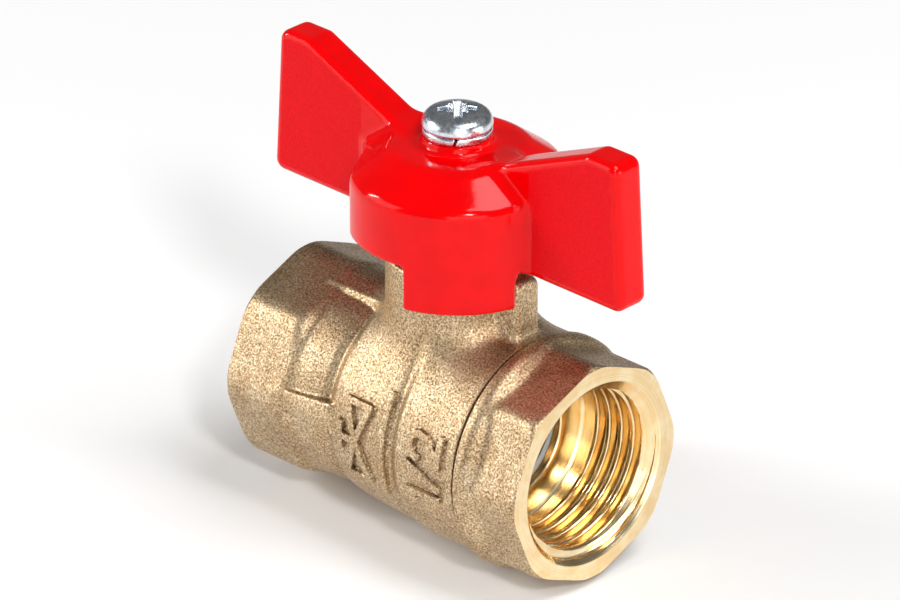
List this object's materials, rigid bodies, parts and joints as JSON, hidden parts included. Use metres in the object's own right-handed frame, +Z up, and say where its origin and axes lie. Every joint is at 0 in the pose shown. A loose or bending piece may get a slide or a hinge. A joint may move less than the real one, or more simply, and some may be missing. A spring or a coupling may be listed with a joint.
{
  "type": "ball valve",
  "caption": "Straight quarter-turn ball valve with two female threaded ends, octagonal spanner flats and a butterfly handle on a vertical stem.",
  "frame": {"origin": "centre of the ball, where the pipe axis meets the stem axis", "axes": "+X along the pipe towards the screwed-in end connector, +Z up along the stem towards the handle, Y across the pipe"},
  "size_m": [0.0538, 0.0278, 0.054],
  "materials": {
    "cast_brass": "shot-blasted casting with fine grain, machined end faces and threads",
    "machined_brass": "bright turned brass",
    "chrome_plate": "polished chrome plate",
    "white_ptfe": "white sealing plastic",
    "black_rubber": "black elastomer",
    "red_coating": "glossy red coating, fine grain on the wing faces",
    "zinc_plate": "bright zinc plate"
  },
  "bodies": {
    "casing": {"body": "cast_brass", "end_connector": "cast_brass", "seat_ring_inlet": "white_ptfe", "seat_ring_outlet": "white_ptfe", "stem_thrust_washer": "white_ptfe", "stem_packing": "white_ptfe", "gland_nut": "machined_brass"},
    "stem_and_handle": {"stem": "machined_brass", "stem_o_ring_lower": "black_rubber", "stem_o_ring_upper": "black_rubber", "handle": "red_coating", "handle_spring_washer": "zinc_plate", "handle_screw": "zinc_plate"},
    "ball": {"ball": "chrome_plate"}
  },
  "joints": [
    {"name": "handle_turn", "type": "hinge", "parent": "casing", "child": "stem_and_handle", "pos_m": [0, 0, 0], "axis": [0, 0, 1], "range_deg": [-90, 0]},
    {"name": "ball_turn", "type": "hinge", "parent": "casing", "child": "ball", "pos_m": [0, 0, 0], "axis": [0, 0, 1], "range_deg": [-90, 0]}
  ],
  "couplings": [
    {"joint": "ball_turn", "follows": "handle_turn", "ratio": 1}
  ]
}
